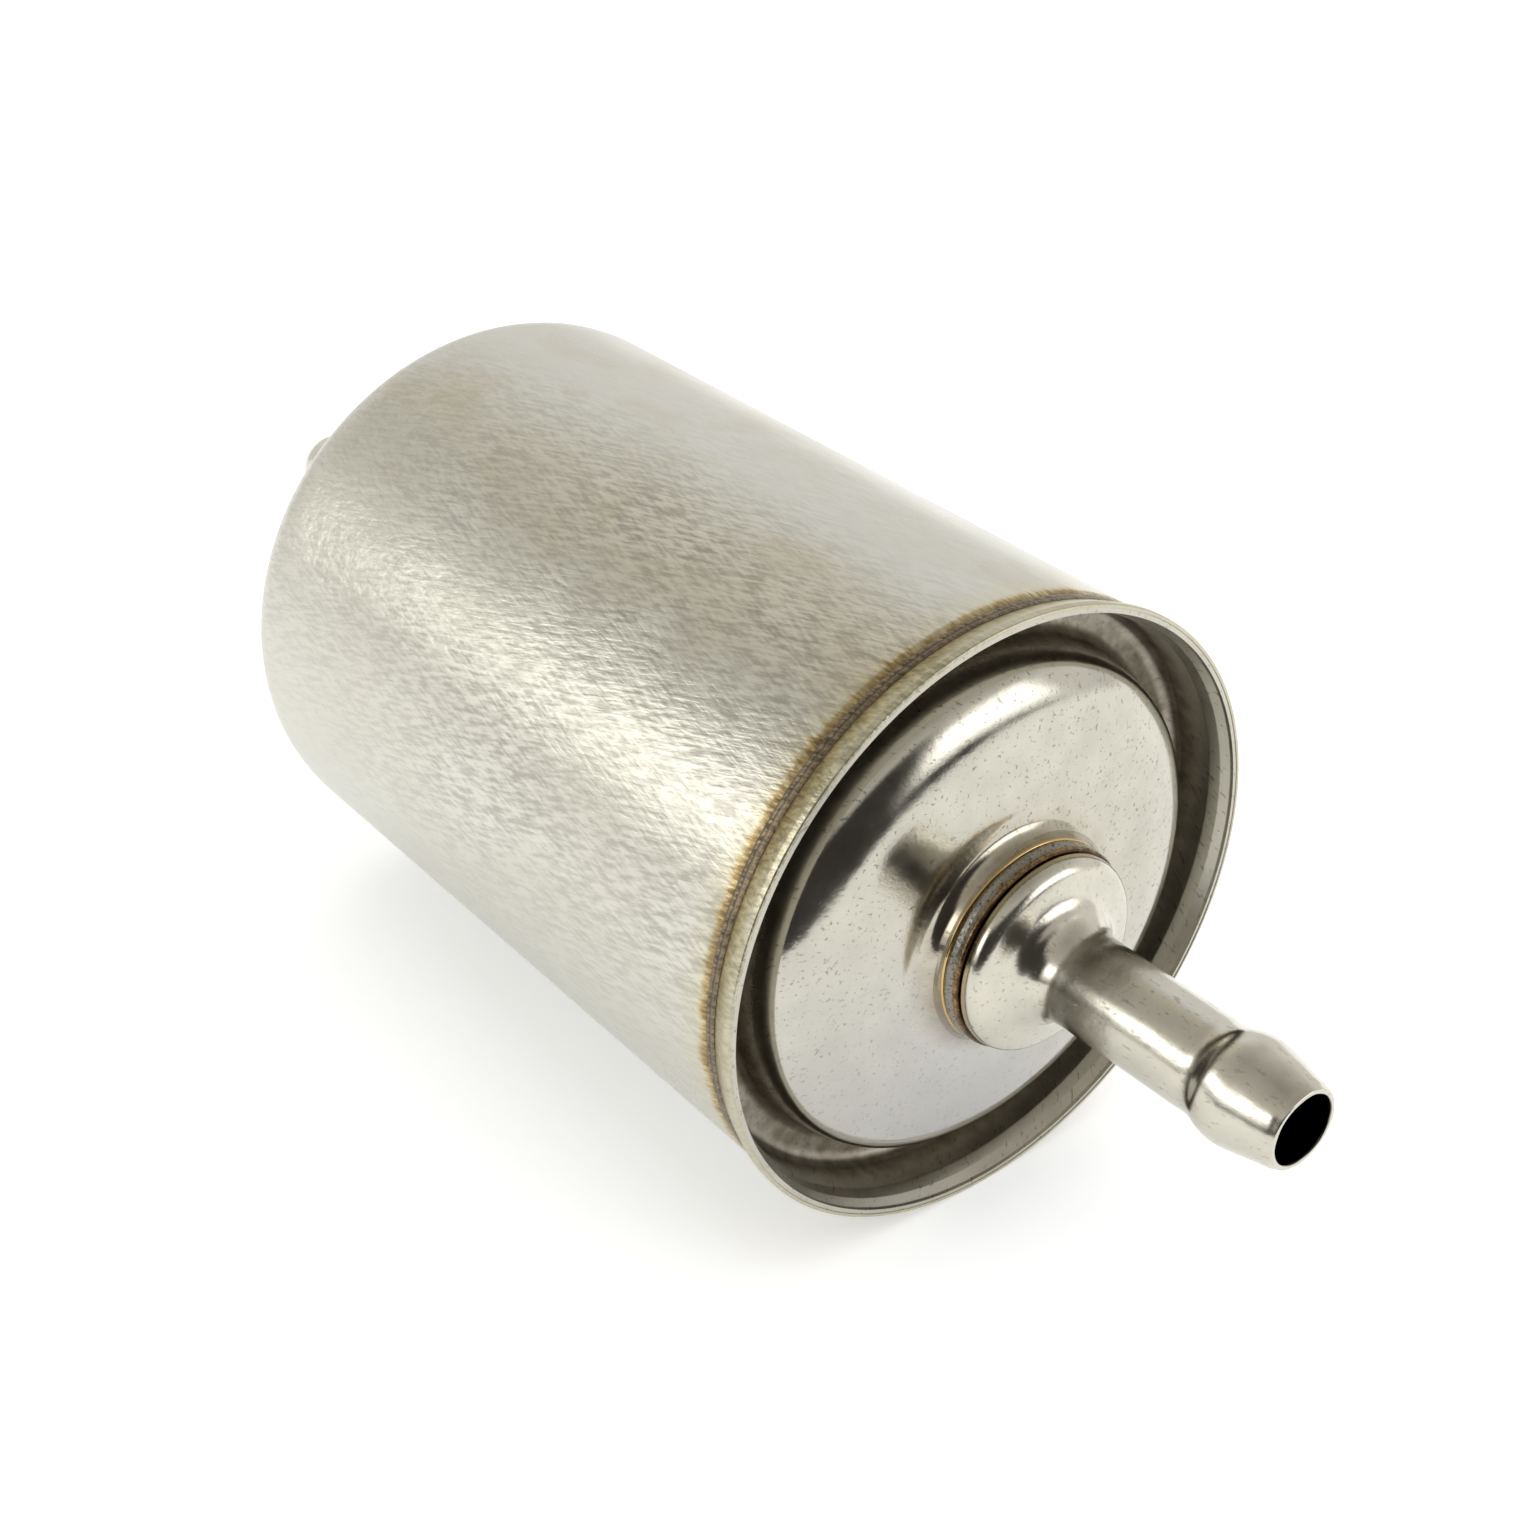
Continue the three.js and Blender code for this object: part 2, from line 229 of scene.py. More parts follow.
def turned(outline, sides, relief=None):
    """A closed outline turned about the axis. relief(s, r, angle) adds to the radius, in millimetres."""
    rings = []
    for j in range(sides):
        angle = 2 * math.pi * j / sides
        rings.append([place(s, r + (relief(s, r, angle) if relief else 0.0), angle) for s, r in outline])
    return woven(rings)


def at_radius(s, r, across, angle):
    """A point at distance r along the radius at an angle, and then a distance across it."""
    return place(s, r, angle) + Vector((0, math.sin(angle), math.cos(angle))) * across * MM


def slab(outline, angle, s0, s1):
    """A flat piece from s0 to s1. Its outline is (r, across) points at an angle."""
    return woven([[at_radius(s, r, across, angle) for r, across in outline] for s in (s0, s1)], closed=False)


def punch(outline, angle, r0, r1):
    """A straight punch from r0 to r1 along the radius at an angle. Its outline is (s, across) points."""
    return woven([[at_radius(s, r, across, angle) for s, across in outline] for r in (r0, r1)], closed=False)


def pierced(name, body, punches):
    """The body with every punch cut out of it."""
    blank, tool = new_object("blank", body), new_object("tool", *punches)
    cutter = blank.modifiers.new("cut", "BOOLEAN")
    cutter.object = tool
    cutter.solver = "EXACT"
    cut = blank.evaluated_get(bpy.context.evaluated_depsgraph_get())
    points = [vertex.co.copy() for vertex in cut.data.vertices]
    faces = [tuple(face.vertices) for face in cut.data.polygons]
    for spare in (blank, tool):
        bpy.data.objects.remove(spare)
    return new_object(name, (points, faces))


def ripple(depth, waves, lag=0.0):
    """The scalloped surface of a weld bead, with a little unevenness."""

    def relief(s, r, angle):
        along = Vector((3 * math.cos(angle), 3 * math.sin(angle), s))
        uneven = noise.noise(along * 2.1)
        phase = waves * angle + lag * s * s + 1.6 * uneven
        return depth * (abs(math.cos(phase / 2)) - 0.6 + 0.5 * uneven)

    return relief


# ---- outer pieces ----
def housing_outline():
    outside = [
        (0.0, RIM_R - 0.33, 0.03),
        (0.0, RIM_R, 0.16),
        (0.65, RIM_R, 0.5),
        (2.3, BODY_R - 0.02, 0.8),
        (SEAM_S - 0.55, BODY_R - 0.16, 0.3),
        (SEAM_S + 0.55, BODY_R - 0.16, 0.3),
        (SEAM_S + 1.1, BODY_R, 0.6),
        (END_S, BODY_R, 5.0),
        (END_S, 9.7, 1.7),
        (CLOSED_NECK_S, 9.15, 0.3),
        (CLOSED_NECK_S, NECK_HOLE_R, 0.0),
    ]
    inside = [
        (CLOSED_NECK_S - SHEET, NECK_HOLE_R, 0.0),
        (CLOSED_NECK_S - SHEET, 8.75, 0.2),
        (END_S - SHEET, 9.3, 1.7),
        (END_S - SHEET, BODY_R - SHEET, 4.6),
        (2.4, BODY_R - SHEET, 0.8),
        (1.15, 27.07, 0.5),
        (0.35, 27.45, 0.1),
    ]
    return rounded(outside + inside)


def cover_outline():
    wall_r = BODY_R - 2 * SHEET - 0.1
    wall = [
        (0.03, 27.05, 0.0),
        (0.35, 27.02, 0.3),
        (1.15, 26.62, 0.5),
        (2.2, wall_r, 0.8),
        (6.5, wall_r, 1.2),
        (6.5, 23.1, 1.3),
        (4.4, 22.86, 0.0),
    ]
    shoulder = [(4.4, 22.86), (3.4, 22.7), (2.5, 22.48), (1.6, 22.05), (0.9, 21.25), (0.23, 20)]
    crown = [(-0.39, 18), (-0.75, 16), (-1.0, 14), (-1.17, 12), (-1.24, 10.9)]
    root = [(-1.5, 9.95), (-2.0, 9.42), (-2.6, 9.2)]
    neck = [(-2.6, 9.2, 0.0), (COVER_NECK_S, 9.13, 0.2), (COVER_NECK_S, NECK_HOLE_R, 0.0)]
    dome = flowing(shoulder + crown + root)[1:-1]
    return sheet(rounded(wall, closed=False) + dome + rounded(neck, closed=False), SHEET)


def fitting_outline():
    """A fitting as if its neck's top were at s = 0."""
    root = [(-0.05, 8.2, 0.0), (-1.45, 8.2, 0.0), (-1.5, 8.6, 0.12), (-1.62, 8.7, 0.1)]
    bell = [(-1.7, 8.71), (-2.1, 8.69), (-2.5, 8.56), (-2.82, 8.3), (-3.05, 7.95), (-3.25, 7.4)]
    foot = [(-3.45, 6.7), (-3.7, 6.0), (-4.03, 5.45), (-4.45, 5.02), (-4.85, 4.62), (-5.3, 4.33)]
    tube = [(-5.95, 4.12), (-7.0, 4.02), (-8.5, TUBE_R), (-19.0, 3.97), (-20.2, 3.95)]
    swell = [(-21.0, 4.1), (-21.8, 4.4), (-22.7, 4.55), (-23.5, 4.53), (-24.4, 4.38)]
    barb = [(-26.0, 4.08), (-27.2, 3.82), (-27.9, 3.66), (MOUTH + 0.35, 3.5)]
    lip = [(MOUTH + 0.35, 3.5, 0.0), (MOUTH, 3.38, 0.16), (MOUTH, BORE_R, 0.16), (-5.4, BORE_R, 2.0)]
    funnel = [(-4.6, 3.3, 0.5), (-3.6, 4.4, 0.5), (-2.9, 5.6, 0.8)]
    cup = [(-2.3, 7.0, 0.5), (-1.8, 7.4, 0.3), (-0.05, 7.4, 0.0)]
    skin = flowing(bell + foot + tube + swell + barb)[:-1]
    return rounded(root, closed=False) + skin + rounded(lip + funnel + cup, closed=False)


def ring_weld_outline():
    return rounded(
        [
            (-0.05, 8.28, 0.0),
            (-0.05, 9.06, 0.08),
            (-0.3, 9.1, 0.2),
            (-0.75, 9.02, 0.4),
            (-1.2, 9.0, 0.25),
            (-1.42, 8.86, 0.12),
            (-1.42, 8.28, 0.0),
        ]
    )


def seam_weld_outline():
    floor = BODY_R - 0.14
    return rounded(
        [
            (SEAM_S - 0.5, floor, 0.0),
            (SEAM_S - 0.3, floor + 0.08, 0.15),
            (SEAM_S + 0.3, floor + 0.08, 0.15),
            (SEAM_S + 0.5, floor, 0.0),
        ]
    )


def at_cover(outline):
    return [Vector((COVER_NECK_S + p.x, p.y)) for p in outline]


def at_closed_end(outline):
    return [Vector((CLOSED_NECK_S - p.x, p.y)) for p in outline]


def hand_worked(seed):
    """Slight unevenness of a formed tube: shallow dents round the barb, almost none on the tube."""

    def relief(s, r, angle):
        reach = min(abs(s - COVER_NECK_S), abs(s - CLOSED_NECK_S))
        at_barb = min(max((reach - 19.5) / 3, 0), 1)
        spot = Vector((1.2 * math.cos(angle), 1.2 * math.sin(angle), 0.28 * s + seed))
        return (0.012 + 0.05 * at_barb) * noise.noise(spot * 1.7)

    return relief


def panel_wave(s, r, angle):
    """The slight waviness of the drawn can's side."""
    spot = Vector((2.2 * math.cos(angle), 2.2 * math.sin(angle), 0.05 * s))
    fade = min(max((s - 5) / 8, 0), 1) * min(max((70 - s) / 10, 0), 1)
    return -0.03 * fade * (0.5 + 0.5 * noise.noise(spot))


# ---- inner pieces ----
def spring_coil():
    """A round-wire spring with closed ends, between the baffle and the closed end cap."""
    low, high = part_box("preload_spring")
    start, end = s_of(high.x) + WIRE_R, s_of(low.x) - WIRE_R
    turns, closed_turns, closed_pitch, per_turn, wire_sides = 3.5, 0.75, 1.3, 48, 16
    open_pitch = (end - start - 2 * closed_turns * closed_pitch) / (turns - 2 * closed_turns)
    rings = []
    for j in range(int(turns * per_turn) + 1):
        turn = j / per_turn
        closed = min(turn, closed_turns) + max(turn - (turns - closed_turns), 0)
        s = start + closed * closed_pitch + (turn - closed) * open_pitch
        ring = []
        for k in range(wire_sides):
            around = 2 * math.pi * k / wire_sides
            r = SPRING_R + WIRE_R * math.cos(around)
            ring.append(place(s + WIRE_R * math.sin(around), r, 2 * math.pi * turn))
        rings.append(ring)
    return woven(rings, closed=False)


def pleated_paper():
    """One sheet of paper, folded round the core."""
    low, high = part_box("pleated_media")
    outer_r, inner_r, outer_fold, inner_fold, half_sheet, fold_steps = 21.3, 10.2, 0.75, 0.42, 0.2, 8
    middle = []
    for i in range(2 * PLEATS):
        angle = math.pi * i / PLEATS
        out = Vector((math.cos(angle), math.sin(angle)))
        side = Vector((-out.y, out.x))
        outward = i % 2 == 0
        fold, r = (outer_fold, outer_r - outer_fold) if outward else (inner_fold, inner_r + inner_fold)
        for k in range(fold_steps + 1):
            bend = math.pi * (k / fold_steps - 0.5)
            reach = math.cos(bend) if outward else -math.cos(bend)
            middle.append(out * (r + fold * reach) + side * fold * math.sin(bend))
    skins = [offset(middle, half_sheet, closed=True), offset(middle, -half_sheet, closed=True)]

    def ring(x, skin):
        return [Vector((x, p.x * MM, AXIS_Z + p.y * MM)) for p in skin]

    outside, inside = skins
    return woven([ring(low.x, outside), ring(high.x, outside), ring(high.x, inside), ring(low.x, inside)])


def round_hole(s, radius, points=20):
    turns = [2 * math.pi * k / points for k in range(points)]
    return [(s + radius * math.cos(t), radius * math.sin(t)) for t in turns]


def core_punches(s0, s1):
    rows, columns, hole_r = 5, 6, 1.6
    pitch = (s1 - s0) / rows
    made = []
    for row in range(rows):
        for column in range(columns):
            angle = 2 * math.pi * (column + 0.5 * (row % 2)) / columns
            hole = round_hole(s0 + pitch * (row + 0.5), hole_r)
            made.append(punch(hole, angle, CORE_R - 2.5, CORE_R + 1))
    return made


def end_cap(disc, inward, middle):
    """A cap's disc, with its edge turned down over the pleats, and its four tabs. inward is 1 or -1."""
    half_tab, reach = 2.5, 26.17
    edge = [(disc, CAP_R, 0.7), (disc + CAP_RIM * inward, CAP_R, 0.0)]
    face = rounded(middle + edge, closed=False)
    root = CAP_R - 1.5
    corners = [(root, -half_tab, 0), (reach, -half_tab, 0.9), (reach, half_tab, 0.9), (root, half_tab, 0)]
    tab = rounded(corners)
    parts = [turned(sheet(face, -SHEET * inward), INNER_ROUND)]
    for quarter in range(4):
        angle = math.pi * (0.25 + 0.5 * quarter)
        parts.append(slab(tab, angle, disc + 0.01 * inward, disc + SHEET * inward))
    return parts


def spigot_tube():
    """A flanged tube inside the cover's neck, which the seal slides on."""
    flange, wall = COVER_NECK_S + SHEET + FIT_GAP, 0.9
    bore = SPIGOT_R - wall
    face = rounded([(flange, 8, 0), (flange, bore, 0.15), (15, bore, 0)], closed=False)
    return turned(sheet(face, wall), INNER_ROUND)


def grommet_ring(disc):
    """The rubber seal, with a groove that holds the open end cap's edge."""
    hole, lip, tail = SPIGOT_R + FIT_GAP, disc - 1.25, disc + 3.25
    above, below = disc - FIT_GAP, disc + SHEET + FIT_GAP
    groove = [(above, 7.3, 0.15), (above, 6, 0.1), (below, 6, 0.1), (below, 7.1, 0.15)]
    corners = [(lip, hole, 0.3), (lip, 7.2, 0.5), *groove, (tail, 6.1, 0.5), (tail, hole, 0.3)]
    return turned(rounded(corners), INNER_ROUND)


def baffle_dish():
    """A dish on its foot over the inlet, with six windows in its side."""
    plate, foot_r, half_window = 0.6, 18.5, 3
    low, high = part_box("inlet_baffle")
    seat, foot = s_of(high.x), s_of(low.x) - plate
    side = [(seat, foot_r - 3.6, 0.8), (foot, foot_r - 3.0, 0.5), (foot, foot_r, 0.0)]
    face = rounded([(seat, 0.02, 0.0), *side], closed=False)
    start, end = seat + 1, foot - 0.3
    corners = [(start, -half_window), (end, -half_window), (end, half_window), (start, half_window)]
    opening = rounded([(s, across, 0.5) for s, across in corners])
    punches = [punch(opening, math.pi * (0.5 + k / 3), foot_r - 6, foot_r - 1.5) for k in range(6)]
    return turned(sheet(face, -plate), INNER_ROUND), punches


def folded_clip():
    """The folded strip over the joint of the paper."""
    low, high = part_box("seam_clip")
    half, base, top, wall = 1.2, CORE_R + 0.35, 9.7, 0.3
    floor_r, inside = base + wall, half - wall
    outer = [(top, half), (base, half), (base, -half), (top, -half)]
    corners = outer + [(top, -inside), (floor_r, -inside), (floor_r, inside), (top, inside)]
    upright = math.copysign(math.pi / 2, low.z + high.z - 2 * AXIS_Z)
    outline = rounded([(r, w, 0.1) for r, w in corners], steps=3)
    return slab(outline, upright, s_of(high.x), s_of(low.x))


def ring_of(node, inner_r, outer_r, fillet):
    """A plain ring with softened edges, as long as its CAD node."""
    low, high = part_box(node)
    s0, s1 = s_of(high.x), s_of(low.x)
    corners = [(s0, inner_r, fillet), (s0, outer_r, fillet), (s1, outer_r, fillet), (s1, inner_r, fillet)]
    return turned(rounded(corners), INNER_ROUND)


# ---- materials ----
class Nodes:
    """A node tree and short ways to add nodes to it."""

    def __init__(self, tree):
        self.tree = tree

    def add(self, kind, inputs, **settings):
        node = self.tree.nodes.new(kind)
        for key, value in settings.items():
            setattr(node, key, value)
        for key, value in inputs.items():
            if isinstance(value, bpy.types.NodeSocket):
                self.tree.links.new(value, node.inputs[key])
            else:
                node.inputs[key].default_value = value
        return node

    def math(self, operation, a, b=0.0):
        return self.add("ShaderNodeMath", {0: a, 1: b}, operation=operation).outputs[0]

    def noise(self, where, scale, detail=3.0, roughness=0.55):
        values = {"Vector": where, "Scale": scale, "Detail": detail, "Roughness": roughness}
        return self.add("ShaderNodeTexNoise", values).outputs["Fac"]

    def spread(self, value, low, high, to_low, to_high):
        """A value from low to high, mapped to another range and held inside it."""
        values = {0: value, 1: low, 2: high, 3: to_low, 4: to_high}
        return self.add("ShaderNodeMapRange", values, clamp=True).outputs[0]

    def mix(self, factor, a, b, blend="MIX"):
        node = self.add("ShaderNodeMix", {0: factor, 6: a, 7: b}, data_type="RGBA", blend_type=blend)
        return node.outputs[2]

    def blend(self, factor, a, b):
        return self.add("ShaderNodeMix", {0: factor, 2: a, 3: b}, data_type="FLOAT").outputs[0]

    def ramp(self, value, stops):
        """A colour by position: stops are (position, colour) from 0 to 1."""
        node = self.add("ShaderNodeValToRGB", {0: value})
        ends = node.color_ramp.elements
        ends[0].position, ends[0].color = stops[0][0], rgb(*stops[0][1])
        ends[1].position, ends[1].color = stops[-1][0], rgb(*stops[-1][1])
        for position, color in stops[1:-1]:
            ends.new(position).color = rgb(*color)
        return node.outputs["Color"]


class Paint(Nodes):
    """A metallic or dull material, with the shaded place as s, r and angle about the can's axis."""

    def __init__(self, name, color, metallic, roughness):
        self.material = bpy.data.materials.new(name)
        self.material.use_nodes = True
        super().__init__(self.material.node_tree)
        self.shader = self.tree.nodes["Principled BSDF"]
        self.shader.inputs["Base Color"].default_value = (*color, 1)
        self.shader.inputs["Metallic"].default_value = metallic
        self.shader.inputs["Roughness"].default_value = roughness
        coordinates = self.tree.nodes.new("ShaderNodeTexCoord")
        self.position = coordinates.outputs["Object"]
        x, y, z = self.add("ShaderNodeSeparateXYZ", {0: self.position}).outputs
        up = self.math("SUBTRACT", z, AXIS_Z)
        self.s = self.math("DIVIDE", self.math("SUBTRACT", RIM_X, x), MM)
        squares = self.math("ADD", self.math("MULTIPLY", y, y), self.math("MULTIPLY", up, up))
        self.r = self.math("DIVIDE", self.math("SQRT", squares), MM)
        self.angle = self.math("DEGREES", self.math("ARCTAN2", up, self.math("MULTIPLY", y, -1.0)))

    def from_neck(self):
        """How far, in millimetres, the shaded place lies from the nearer neck's top, along the axis."""
        near = self.math("ABSOLUTE", self.math("SUBTRACT", self.s, COVER_NECK_S))
        far = self.math("ABSOLUTE", self.math("SUBTRACT", self.s, CLOSED_NECK_S))
        return self.math("MINIMUM", near, far)

    def bump(self, height, distance, strength=1.0, under=None):
        values = {"Height": height, "Distance": distance, "Strength": strength}
        if under is not None:
            values["Normal"] = under
        return self.add("ShaderNodeBump", values).outputs["Normal"]

    def stretched(self, along, around, twist=0.0):
        """Object coordinates about the can's axis, scaled so that marks are long along X."""
        values = {0: self.position, 1: (0, 0, -AXIS_Z)}
        where = self.add("ShaderNodeVectorMath", values, operation="ADD").outputs[0]
        if twist:
            x = self.add("ShaderNodeSeparateXYZ", {0: where}).outputs[0]
            turn = self.math("MULTIPLY", x, twist)
            values = {"Vector": where, "Angle": turn}
            where = self.add("ShaderNodeVectorRotate", values, rotation_type="X_AXIS").outputs[0]
        scale = (1 / along, 1 / around, 1 / around)
        return self.add("ShaderNodeVectorMath", {0: where, 1: scale}, operation="MULTIPLY").outputs[0]

    def set(self, **inputs):
        for key, value in inputs.items():
            self.tree.links.new(value, self.shader.inputs[key.replace("_", " ")])


def rgb(*color):
    return (*color, 1)


def can_grain(paint):
    """Crossed streaks along the can, which turn into orange peel at its far end."""
    one_way = paint.noise(paint.stretched(2.2 * MM, 0.38 * MM, 11.0), 1.0, 3.0)
    other_way = paint.noise(paint.stretched(1.8 * MM, 0.34 * MM, -7.0), 1.0, 3.0)
    streaks = paint.math("ADD", paint.math("MULTIPLY", one_way, 0.6), paint.math("MULTIPLY", other_way, 0.4))
    peel = paint.noise(paint.stretched(1.1 * MM, 0.8 * MM), 1.0, 2.0)
    return streaks, paint.blend(paint.spread(paint.s, 35, 68, 0, 0.75), streaks, peel)


def can_stains_and_painted_reflection(paint, steel):
    """Faint watermark rings over the top, and a painted brown reflection of the room in soft patches above
    the middle.
    """
    stain = paint.noise(paint.stretched(9 * MM, 6 * MM), 1.0, 2.0)
    edge = paint.math("ABSOLUTE", paint.math("SUBTRACT", stain, 0.56))
    on_top = paint.spread(paint.angle, 60, 85, 0.15, 1)
    ring = paint.math("MULTIPLY", paint.spread(edge, 0.0, 0.012, 0.16, 0), on_top)
    steel = paint.mix(ring, steel, rgb(0.42, 0.39, 0.33))
    # Painted reflection: brown patches on the upper side stand in for the room's dark reflection.
    above = paint.spread(paint.angle, 45, 62, 0, 1)
    brown = paint.math("MULTIPLY", paint.spread(stain, 0.5, 0.7, 0, 0.3), above)
    return paint.mix(brown, steel, rgb(0.46, 0.38, 0.26))


def can_steel():
    """Satin drawn steel: streaks and orange peel, soft stains, a painted brown reflection, and heat tint at
    the seam.
    """
    paint = Paint("can_steel", (0.62, 0.6, 0.53), 1.0, 0.3)
    streaks, grain = can_grain(paint)
    cloud = paint.noise(paint.stretched(12 * MM, 8 * MM), 1.0, 3.0)
    below_top = paint.math("MULTIPLY", paint.spread(paint.angle, 72, 92, 1.0, 0.2),
                           paint.spread(cloud, 0.3, 0.6, 0.6, 1))
    worn = paint.math("MULTIPLY", paint.spread(paint.angle, -12, 18, 0.3, 1.0), below_top)

    pale, dark = rgb(0.62, 0.61, 0.545), rgb(0.57, 0.555, 0.485)
    base = paint.mix(paint.spread(cloud, 0.35, 0.68, 0, 1), dark, pale)
    fading = paint.spread(paint.s, 40, 68, 0, 0.6)
    lines = paint.blend(fading, paint.spread(streaks, 0.4, 0.57, 0.6, 0.0), 0.15)
    steel = paint.mix(paint.math("MULTIPLY", lines, worn), base, rgb(0.19, 0.175, 0.14))
    steel = can_stains_and_painted_reflection(paint, steel)

    teeth = paint.noise(paint.stretched(3 * MM, 0.28 * MM, 6.0), 1.0, 2.0)
    drift = paint.noise(paint.stretched(6 * MM, 3 * MM), 1.0, 2.0)
    ragged = paint.math("ADD", paint.spread(teeth, 0.25, 0.75, -0.45, 0.45),
                        paint.spread(drift, 0.3, 0.7, -0.3, 0.3))
    from_seam = paint.math("ADD", paint.math("SUBTRACT", paint.s, SEAM_S), ragged)
    tint = paint.ramp(paint.spread(from_seam, -4, 4, 0, 1), SEAM_TINT)
    tinted = paint.mix(1.0, steel, tint, "MULTIPLY")

    heat = paint.spread(paint.math("ABSOLUTE", from_seam), 0.5, 1.5, 0.14, 0.0)
    rough = paint.math("ADD", paint.spread(cloud, 0.3, 0.7, 0.26, 0.34), heat)
    speckle = paint.noise(paint.stretched(0.25 * MM, 0.2 * MM), 1.0, 2.0)
    under = paint.bump(speckle, 0.004 * MM, 1.0)
    relief = paint.bump(paint.math("MULTIPLY", grain, worn), 0.11 * MM, 1.0, under)
    paint.set(Base_Color=tinted, Roughness=rough, Normal=relief)
    return paint.material


# Heat tint by distance from the seam, from 4 mm before it, at the lip, to 4 mm after it. It multiplies
# the steel's colour.
SEAM_TINT = [
    (0.0, (0.84, 0.82, 0.76)),
    (0.14, (0.84, 0.80, 0.68)),
    (0.24, (0.70, 0.64, 0.44)),
    (0.35, (0.50, 0.41, 0.20)),
    (0.43, (0.40, 0.30, 0.16)),
    (0.465, (0.27, 0.21, 0.14)),
    (0.53, (0.30, 0.23, 0.15)),
    (0.565, (0.52, 0.39, 0.21)),
    (0.60, (0.68, 0.53, 0.29)),
    (0.635, (0.88, 0.76, 0.52)),
    (0.69, (1.0, 0.97, 0.88)),
    (1.0, (1.0, 1.0, 1.0)),
]


def worked_steel(name, color, roughness, scuffs, grain_depth):
    """Pressed or turned steel: faint rolling marks, small dark ticks and a soft smear of handling."""
    paint = Paint(name, color, 1.0, roughness)
    smear = paint.noise(paint.stretched(4 * MM, 3.2 * MM), 1.0, 4.0)
    grain = paint.noise(paint.stretched(0.5 * MM, 0.28 * MM), 1.0, 3.0)
    tick = paint.noise(paint.stretched(1.1 * MM, 0.4 * MM, 30.0), 1.0, 3.0, 0.65)
    darker = tuple(0.88 * c for c in color)
    base = paint.mix(paint.spread(smear, 0.35, 0.7, 0, 1), rgb(*darker), rgb(*color))
    paint.color = paint.mix(paint.spread(tick, 0.6, 0.66, 0, scuffs), base, rgb(0.2, 0.18, 0.15))
    rough = paint.math("ADD", paint.spread(smear, 0.3, 0.7, roughness - 0.02, roughness + 0.05),
                       paint.spread(tick, 0.6, 0.72, 0, 0.12))
    under = paint.bump(smear, 0.05 * MM, 0.5)
    paint.rough = rough
    paint.set(Roughness=rough, Normal=paint.bump(grain, grain_depth * MM, 0.6, under))
    return paint


def cover_steel():
    """The cover: painted shade deep in its channel, a brown tint round its neck, a bluish patch, and gilt at
    its neck's top.
    """
    paint = worked_steel("cover_steel", (0.53, 0.51, 0.44), 0.13, 0.7, 0.006)
    soot_and_shade_mottle = paint.noise(paint.stretched(2.5 * MM, 1.5 * MM), 1.0, 4.0)
    lower_left = paint.math("MULTIPLY", paint.spread(paint.angle, -150, -90, 0, 1),
                            paint.spread(paint.angle, -60, 30, 1, 0))
    on_dome = paint.math("MULTIPLY", lower_left, paint.spread(paint.r, 21.5, 23, 0.55, 0))
    violet = paint.mix(on_dome, paint.color, rgb(0.52, 0.51, 0.53))
    at_boss = paint.math("MULTIPLY", paint.spread(paint.r, 9.4, 11.2, 0.6, 0),
                         paint.spread(soot_and_shade_mottle, 0.3, 0.6, 0.5, 1))
    boss = paint.mix(at_boss, violet, rgb(0.30, 0.235, 0.15))
    # Painted shade: the colour darkens, mottled, deep in the channel between the dome and the rim.
    channel_painted_shade = paint.math("MULTIPLY", paint.spread(paint.s, 2.4, 4.4, 0, 1),
                      paint.spread(soot_and_shade_mottle, 0.3, 0.65, 0.45, 0.85))
    stain_and_painted_shade = paint.mix(channel_painted_shade, boss, rgb(0.15, 0.125, 0.09))
    at_neck = paint.spread(paint.from_neck(), 0.1, 0.45, 0.8, 0.0)
    paint.set(Base_Color=paint.mix(at_neck, stain_and_painted_shade, rgb(0.55, 0.38, 0.15)))
    dulled = paint.math("MAXIMUM", paint.spread(paint.r, 22.3, 23.2, 0, 0.2),
                        paint.spread(paint.s, 2.2, 4, 0, 0.14))
    paint.set(Roughness=paint.math("ADD", paint.rough, dulled))
    return paint.material


def fitting_steel():
    """A fitting: bright, with a gold tint next to its weld and painted shade in its bore."""
    paint = worked_steel("fitting_steel", (0.59, 0.565, 0.485), 0.17, 0.4, 0.012)
    at_weld = paint.spread(paint.from_neck(), 1.55, 2.3, 0.85, 0.0)
    gold = paint.mix(at_weld, paint.color, rgb(0.62, 0.46, 0.22))
    # Painted shade: the bore's inside is painted nearly black.
    bore = paint.spread(paint.r, BORE_R + 0.02, BORE_R + 0.12, 0.97, 0.0)
    paint.set(Base_Color=paint.mix(bore, gold, rgb(0.02, 0.019, 0.018)))
    return paint.material


def seam_weld():
    """The seam's bead: grey-brown scale, streaked along the can, with a dark line in it."""
    paint = Paint("seam_weld", (0.13, 0.11, 0.08), 1.0, 0.4)
    streak = paint.noise(paint.stretched(2 * MM, 0.3 * MM, 10.0), 1.0, 3.0)
    scale = paint.noise(paint.stretched(0.2 * MM, 0.2 * MM), 1.0, 2.0)
    dark, light = rgb(0.10, 0.082, 0.06), rgb(0.28, 0.22, 0.14)
    metal = paint.mix(paint.spread(streak, 0.35, 0.65, 0, 1), dark, light)
    wander = paint.math("ADD", paint.math("SUBTRACT", paint.s, SEAM_S),
                        paint.spread(streak, 0.3, 0.7, -0.15, 0.15))
    line = paint.spread(paint.math("ABSOLUTE", wander), 0.04, 0.14, 0.6, 0)
    paint.set(Base_Color=paint.mix(line, metal, rgb(0.03, 0.025, 0.02)))
    rough = paint.spread(scale, 0.3, 0.7, 0.32, 0.5)
    paint.set(Roughness=rough, Normal=paint.bump(scale, 0.015 * MM, 0.6))
    return paint.material


